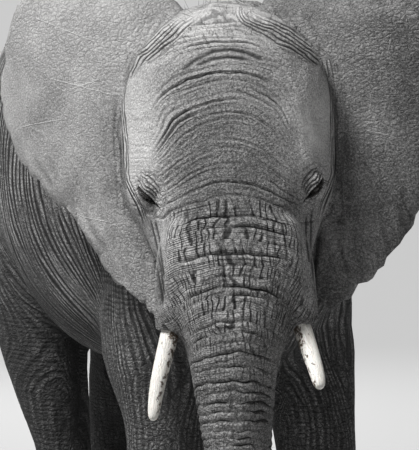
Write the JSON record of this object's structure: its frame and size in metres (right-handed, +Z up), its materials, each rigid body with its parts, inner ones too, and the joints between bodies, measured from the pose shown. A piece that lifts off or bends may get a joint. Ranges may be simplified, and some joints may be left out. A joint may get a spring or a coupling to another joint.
{
  "type": "african elephant still model",
  "caption": "Life-size still model of a standing African elephant, head turned aside, ears spread and trunk hanging; rests on its own four soles.",
  "frame": {"origin": "on the floor, under the middle of the animal's box", "axes": "+Z up; the animal faces -Y with its tail at +Y; its left side is +X"},
  "size_m": [1.5384, 3.2992, 2.7203],
  "materials": {
    "hide": "matt, dry, deeply creased grey hide",
    "ivory": "smooth ivory, fine cracks and stains",
    "eye": "wet, dark brown",
    "nail": "worn horn, dusty",
    "hair": "black wiry hair"
  },
  "bodies": {
    "root": {"barrel": "hide", "chest": "hide", "head": "hide", "jaw": "hide", "left_ear": "hide", "left_eye": "eye", "left_fore_foot": "hide", "left_fore_leg": "hide", "left_fore_nail_1": "nail", "left_fore_nail_2": "nail", "left_fore_nail_3": "nail", "left_fore_nail_4": "nail", "left_hind_foot": "hide", "left_hind_leg": "hide", "left_hind_nail_1": "nail", "left_hind_nail_2": "nail", "left_hind_nail_3": "nail", "left_tusk": "ivory", "neck": "hide", "right_ear": "hide", "right_eye": "eye", "right_fore_foot": "hide", "right_fore_leg": "hide", "right_fore_nail_1": "nail", "right_fore_nail_2": "nail", "right_fore_nail_3": "nail", "right_fore_nail_4": "nail", "right_hind_foot": "hide", "right_hind_leg": "hide", "right_hind_nail_1": "nail", "right_hind_nail_2": "nail", "right_hind_nail_3": "nail", "right_tusk": "ivory", "rump": "hide", "shoulders": "hide", "tail": "hide", "tail_brush": "hair", "trunk_lower": "hide", "trunk_tip": "hide", "trunk_upper": "hide"}
  },
  "joints": []
}
